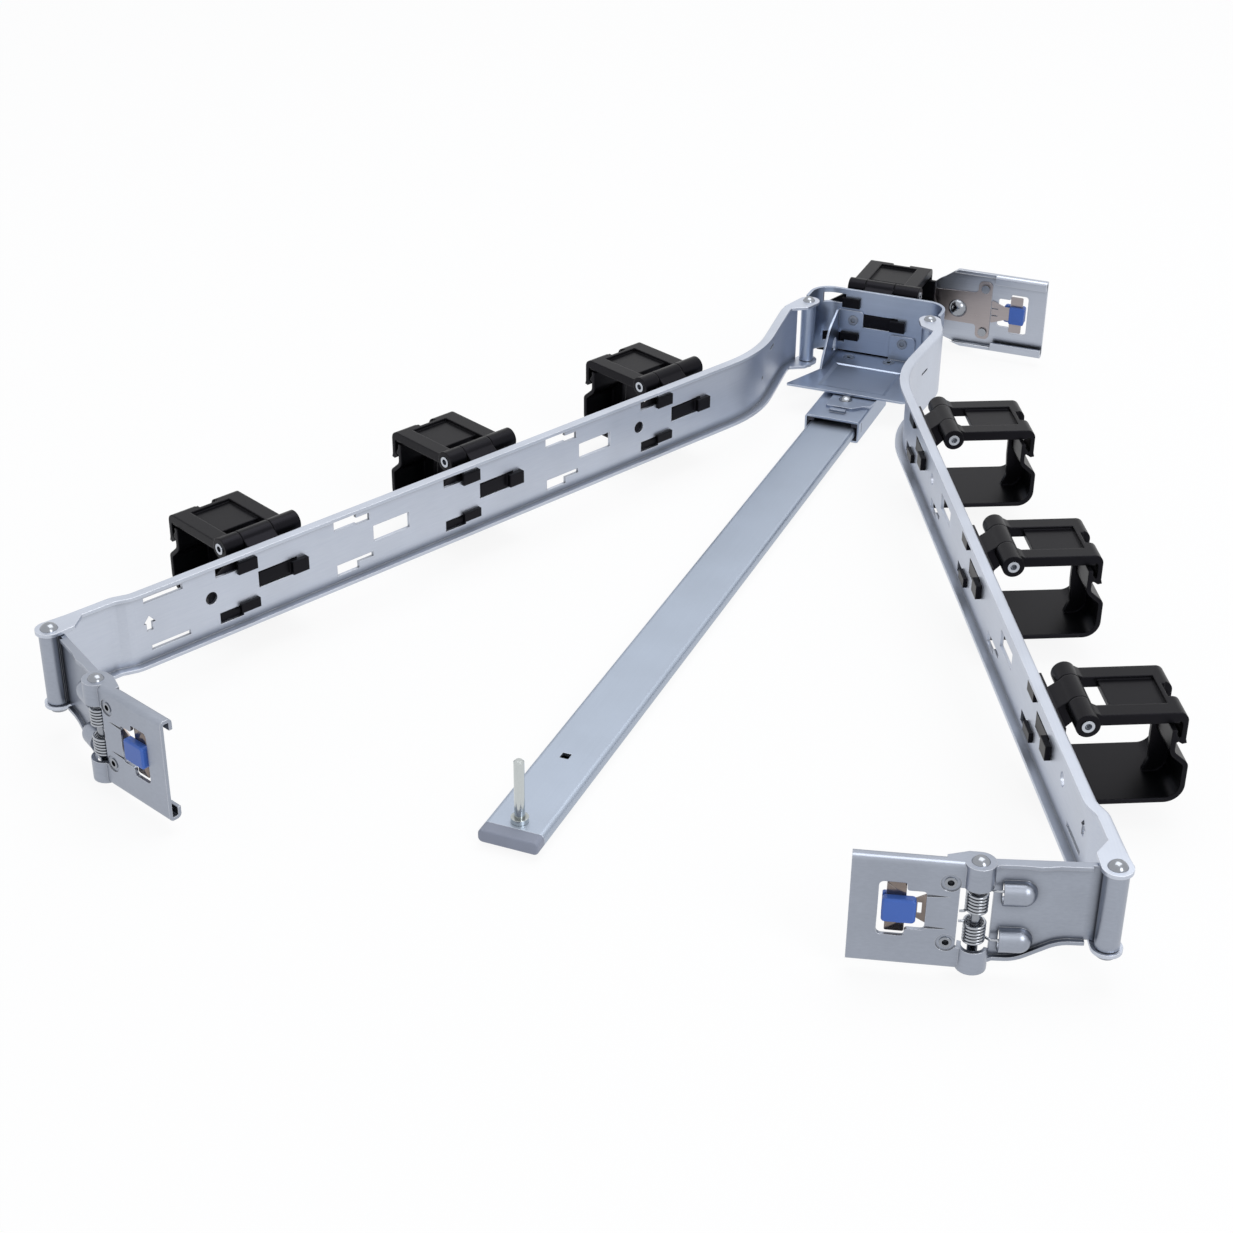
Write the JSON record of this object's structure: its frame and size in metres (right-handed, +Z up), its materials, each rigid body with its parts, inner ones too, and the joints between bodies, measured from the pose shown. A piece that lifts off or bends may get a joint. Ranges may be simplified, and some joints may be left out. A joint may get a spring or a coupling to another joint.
{
  "type": "server cable management arm",
  "caption": "Hinged cable management arm for a rack server: arms in a V with snap-lid cable baskets, an elbow sliding on a flat bar, and push-button clip connectors at the ends",
  "frame": {"origin": "on the axis of the bar's locating pin, at the bar's underside", "axes": "+Y along the bar toward its rear end, +Z up, +X to the right seen from the front"},
  "size_m": [0.353, 0.4704, 0.0421],
  "materials": {
    "basket_plastic": "moulded black plastic, fine matt grain",
    "button_plastic": "moulded blue plastic, soft sheen",
    "spring_leaf": "cold-rolled stainless spring strip",
    "spring_wire": "bright drawn spring wire",
    "cap_plastic": "moulded dark grey plastic",
    "liner_plastic": "low-friction dark plastic runner",
    "zinc_pin": "bright zinc with a faint yellow tint",
    "bright_pin": "bright turned steel",
    "bright_rivet": "bright nickel-plated rivet",
    "bar_steel": "zinc-plated steel, light bluish grey",
    "bracket_steel": "zinc-plated pressed steel",
    "connector_steel": "zinc-plated pressed steel, satin",
    "arm_steel": "zinc-plated steel sheet, light bluish grey"
  },
  "bodies": {
    "support_bar": {"support_bar": "bar_steel", "bar_end_cap": "cap_plastic", "bar_locating_pin": "zinc_pin", "rear_bracket": "bracket_steel", "rear_connector": "connector_steel", "rear_dome_rivet": "bright_rivet", "rear_leaf_strip": "spring_leaf", "rear_latch_rivets": "bright_rivet"},
    "rear_latch": {"rear_latch_spring": "spring_leaf", "rear_push_button": "button_plastic"},
    "slide": {"slide_sleeve": "bracket_steel", "sleeve_liner": "liner_plastic", "pivot_rivet": "bright_rivet"},
    "elbow": {"tongue_plate": "bracket_steel", "tray_bracket": "bracket_steel", "tray_rivets": "bright_rivet", "elbow_bracket": "bracket_steel", "elbow_basket_body": "basket_plastic", "elbow_basket_pin": "bright_pin"},
    "left_arm": {"left_arm": "arm_steel", "left_elbow_pin": "bright_rivet", "left_arm_pin": "bright_rivet", "left_basket_1_body": "basket_plastic", "left_basket_1_pin": "bright_pin", "left_basket_2_body": "basket_plastic", "left_basket_2_pin": "bright_pin", "left_basket_3_body": "basket_plastic", "left_basket_3_pin": "bright_pin"},
    "left_link": {"left_link_plate": "connector_steel", "left_spring_upper": "spring_wire", "left_spring_lower": "spring_wire"},
    "left_connector": {"left_connector": "connector_steel", "left_connector_pin": "bright_rivet", "left_latch_rivets": "bright_rivet"},
    "left_latch": {"left_latch_spring": "spring_leaf", "left_push_button": "button_plastic"},
    "left_basket_1_lid": {"left_basket_1_lid": "basket_plastic"},
    "left_basket_2_lid": {"left_basket_2_lid": "basket_plastic"},
    "left_basket_3_lid": {"left_basket_3_lid": "basket_plastic"},
    "right_arm": {"right_arm": "arm_steel", "right_elbow_pin": "bright_rivet", "right_arm_pin": "bright_rivet", "right_basket_1_body": "basket_plastic", "right_basket_1_pin": "bright_pin", "right_basket_2_body": "basket_plastic", "right_basket_2_pin": "bright_pin", "right_basket_3_body": "basket_plastic", "right_basket_3_pin": "bright_pin"},
    "right_link": {"right_link_plate": "connector_steel", "right_spring_upper": "spring_wire", "right_spring_lower": "spring_wire"},
    "right_connector": {"right_connector": "connector_steel", "right_connector_pin": "bright_rivet", "right_latch_rivets": "bright_rivet"},
    "right_latch": {"right_latch_spring": "spring_leaf", "right_push_button": "button_plastic"},
    "right_basket_1_lid": {"right_basket_1_lid": "basket_plastic"},
    "right_basket_2_lid": {"right_basket_2_lid": "basket_plastic"},
    "right_basket_3_lid": {"right_basket_3_lid": "basket_plastic"},
    "elbow_basket_lid": {"elbow_basket_lid": "basket_plastic"}
  },
  "joints": [
    {"name": "elbow_slide", "type": "slide", "parent": "support_bar", "child": "slide", "axis": [0, 1, 0], "range_m": [-0.28, 0]},
    {"name": "elbow_swivel", "type": "hinge", "parent": "slide", "child": "elbow", "pos_m": [0, 0.3246, 0.0081], "axis": [0, 0, 1], "range_deg": [-3, 6]},
    {"name": "rear_latch_press", "type": "hinge", "parent": "support_bar", "child": "rear_latch", "pos_m": [0.0378, 0.41595, 0.01995], "axis": [0, 0, -1], "range_deg": [0, 4], "stiffness_Nm_per_rad": 0.04},
    {"name": "left_arm_hinge", "type": "hinge", "parent": "elbow", "child": "left_arm", "pos_m": [-0.0265, 0.3513, 0.0245], "axis": [0, 0, -1], "range_deg": [-14, 60]},
    {"name": "left_link_hinge", "type": "hinge", "parent": "left_arm", "child": "left_link", "pos_m": [-0.1599, -0.00665, 0.0245], "axis": [0, 0, 1], "range_deg": [-40, 30]},
    {"name": "left_connector_hinge", "type": "hinge", "parent": "left_link", "child": "left_connector", "pos_m": [-0.12915, -0.02631, 0.02075], "axis": [0, 0, 1], "range_deg": [-10, 45], "stiffness_Nm_per_rad": 0.03},
    {"name": "left_latch_press", "type": "hinge", "parent": "left_connector", "child": "left_latch", "pos_m": [-0.12485, -0.02911, 0.02205], "axis": [0, 0, 1], "range_deg": [0, 4], "stiffness_Nm_per_rad": 0.04},
    {"name": "left_basket_1_lid_hinge", "type": "hinge", "parent": "left_arm", "child": "left_basket_1_lid", "pos_m": [-0.13414, 0.07764, 0.0365], "axis": [0.4053, 0.9142, 0], "range_deg": [0, 110]},
    {"name": "left_basket_2_lid_hinge", "type": "hinge", "parent": "left_arm", "child": "left_basket_2_lid", "pos_m": [-0.0941, 0.16794, 0.0365], "axis": [0.4053, 0.9142, 0], "range_deg": [0, 110]},
    {"name": "left_basket_3_lid_hinge", "type": "hinge", "parent": "left_arm", "child": "left_basket_3_lid", "pos_m": [-0.05406, 0.25824, 0.0365], "axis": [0.4053, 0.9142, 0], "range_deg": [0, 110]},
    {"name": "right_arm_hinge", "type": "hinge", "parent": "elbow", "child": "right_arm", "pos_m": [0.0265, 0.3513, 0.0245], "axis": [0, 0, 1], "range_deg": [-14, 60]},
    {"name": "right_link_hinge", "type": "hinge", "parent": "right_arm", "child": "right_link", "pos_m": [0.17699, 0.00019, 0.0245], "axis": [0, 0, -1], "range_deg": [-40, 13]},
    {"name": "right_connector_hinge", "type": "hinge", "parent": "right_link", "child": "right_connector", "pos_m": [0.14256, -0.01193, 0.02075], "axis": [0, 0, -1], "range_deg": [-2.5, 45], "stiffness_Nm_per_rad": 0.03},
    {"name": "right_latch_press", "type": "hinge", "parent": "right_connector", "child": "right_latch", "pos_m": [0.13803, -0.01434, 0.02205], "axis": [0, 0, -1], "range_deg": [0, 4], "stiffness_Nm_per_rad": 0.04},
    {"name": "right_basket_1_lid_hinge", "type": "hinge", "parent": "right_arm", "child": "right_basket_1_lid", "pos_m": [0.14718, 0.08316, 0.0365], "axis": [0.4489, -0.8936, 0], "range_deg": [0, 110]},
    {"name": "right_basket_2_lid_hinge", "type": "hinge", "parent": "right_arm", "child": "right_basket_2_lid", "pos_m": [0.10284, 0.17143, 0.0365], "axis": [0.4489, -0.8936, 0], "range_deg": [0, 110]},
    {"name": "right_basket_3_lid_hinge", "type": "hinge", "parent": "right_arm", "child": "right_basket_3_lid", "pos_m": [0.0585, 0.2597, 0.0365], "axis": [0.4489, -0.8936, 0], "range_deg": [0, 110]},
    {"name": "elbow_basket_lid_hinge", "type": "hinge", "parent": "elbow", "child": "elbow_basket_lid", "pos_m": [-0.0014, 0.3796, 0.0365], "axis": [1, 0, 0], "range_deg": [0, 110]}
  ]
}
